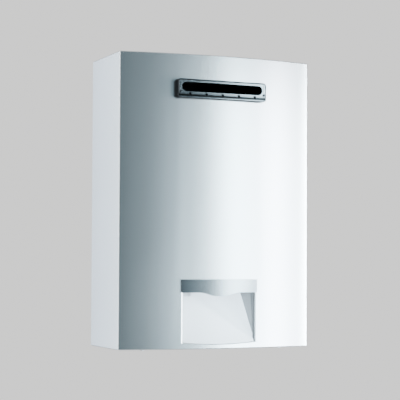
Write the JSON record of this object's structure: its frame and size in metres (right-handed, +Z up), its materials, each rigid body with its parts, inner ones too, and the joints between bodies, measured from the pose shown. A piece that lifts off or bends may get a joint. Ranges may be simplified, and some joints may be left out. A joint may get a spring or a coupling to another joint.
{
  "type": "gas water heater",
  "caption": "Wall-hung outdoor gas water heater with a bowed white cover, an oblong flue terminal and a slanted air scoop under a silver bar.",
  "frame": {"origin": "middle of the four wall fixings, in the wall's plane", "axes": "+X right and +Z up for a person in front, +Y back into the wall; the front faces -Y"},
  "size_m": [0.41, 0.1959, 0.5825],
  "materials": {
    "white_enamel": "satin powder coat",
    "white_plastic": "fine grained",
    "silver_plastic": "silver satin",
    "galvanized_steel": "galvanized",
    "zinc_screws": "zinc plated",
    "black_screws": "blackened",
    "stainless_terminal": "satin stainless",
    "stainless_burner": "stainless, heat tinted",
    "black_rubber": "matt",
    "copper": "copper sheet",
    "cast_aluminium": "cast",
    "brass": "machined",
    "ceramic": "glazed ceramic",
    "fan_plastic": "plated sheet",
    "black_plastic": "moulded",
    "solenoid_steel": "plated",
    "grey_plastic": "moulded",
    "board_green": "lacquered",
    "lead_sleeve": "silicone"
  },
  "bodies": {
    "chassis": {"back_panel": "galvanized_steel", "bottom_plate": "galvanized_steel", "burner_blades": "stainless_burner", "burner_box": "galvanized_steel", "cable_gland": "black_rubber", "chamber_coil": "copper", "circuit_board": "board_green", "cold_inlet": "brass", "column_brackets": "galvanized_steel", "combustion_chamber": "copper", "control_box": "white_plastic", "control_brackets": "galvanized_steel", "control_lid": "grey_plastic", "cover_screws": "zinc_screws", "exchanger_caps": "copper", "exchanger_fins": "copper", "exchanger_tubes": "copper", "fan_cover": "galvanized_steel", "fan_housing": "cast_aluminium", "fan_motor": "solenoid_steel", "flame_sensor": "ceramic", "flow_sensor": "black_plastic", "flow_valve": "brass", "flow_valve_motor": "black_plastic", "flue_collector": "copper", "gas_injectors": "brass", "gas_inlet": "brass", "gas_manifold": "cast_aluminium", "gas_pipe": "cast_aluminium", "gas_valve": "cast_aluminium", "hot_outlet": "brass", "hot_pipe": "copper", "igniter": "grey_plastic", "igniter_leads": "lead_sleeve", "modulator_coil": "solenoid_steel", "outlet_thermistor": "black_plastic", "overheat_thermostat": "black_plastic", "pipe_seals": "black_rubber", "shutoff_solenoids": "solenoid_steel", "spark_electrodes": "ceramic", "wall_rails": "galvanized_steel"},
    "cover": {"front_cover": "white_enamel", "air_scoop": "white_plastic", "scoop_bar": "silver_plastic", "bar_screws": "zinc_screws", "flue_terminal": "stainless_terminal", "flue_gasket": "black_rubber", "terminal_screws": "black_screws"},
    "fan_rotor": {"fan_impeller": "fan_plastic", "fan_shaft": "zinc_screws"},
    "turbine": {"flow_turbine": "black_plastic"},
    "main_plunger": {"main_plunger": "solenoid_steel"},
    "safety_plunger": {"safety_plunger": "solenoid_steel"},
    "modulator_plunger": {"modulator_plunger": "solenoid_steel"},
    "valve_spool": {"flow_valve_spool": "solenoid_steel"},
    "cold_plug": {"cold_drain_plug": "black_plastic", "cold_plug_washer": "black_rubber", "inlet_strainer": "stainless_burner"},
    "hot_plug": {"hot_drain_plug": "black_plastic", "hot_plug_washer": "black_rubber"}
  },
  "joints": [
    {"name": "cover_pull", "type": "slide", "parent": "chassis", "child": "cover", "axis": [0, -1, 0], "range_m": [0, 0.25]},
    {"name": "fan_spin", "type": "hinge", "parent": "chassis", "child": "fan_rotor", "pos_m": [0, -0.066, -0.14], "axis": [0, 1, 0], "continuous": true},
    {"name": "turbine_spin", "type": "hinge", "parent": "chassis", "child": "turbine", "pos_m": [0.1252, -0.057, -0.1755], "axis": [0, 0, 1], "continuous": true},
    {"name": "main_valve_open", "type": "slide", "parent": "chassis", "child": "main_plunger", "axis": [0, -1, 0], "range_m": [0, 0.003], "stiffness_N_per_m": 200, "springref_m": -0.005},
    {"name": "safety_valve_open", "type": "slide", "parent": "chassis", "child": "safety_plunger", "axis": [0, -1, 0], "range_m": [0, 0.003], "stiffness_N_per_m": 200, "springref_m": -0.005},
    {"name": "modulator_lift", "type": "slide", "parent": "chassis", "child": "modulator_plunger", "axis": [0, -1, 0], "range_m": [0, 0.002], "stiffness_N_per_m": 200, "springref_m": -0.005},
    {"name": "flow_valve_turn", "type": "hinge", "parent": "chassis", "child": "valve_spool", "pos_m": [0.1252, -0.06, -0.2075], "axis": [0, 1, 0], "range_deg": [0, 90]},
    {"name": "cold_plug_pull", "type": "slide", "parent": "chassis", "child": "cold_plug", "axis": [0, 0, -1], "range_m": [0, 0.03]},
    {"name": "hot_plug_pull", "type": "slide", "parent": "chassis", "child": "hot_plug", "axis": [0, 0, -1], "range_m": [0, 0.03]}
  ]
}
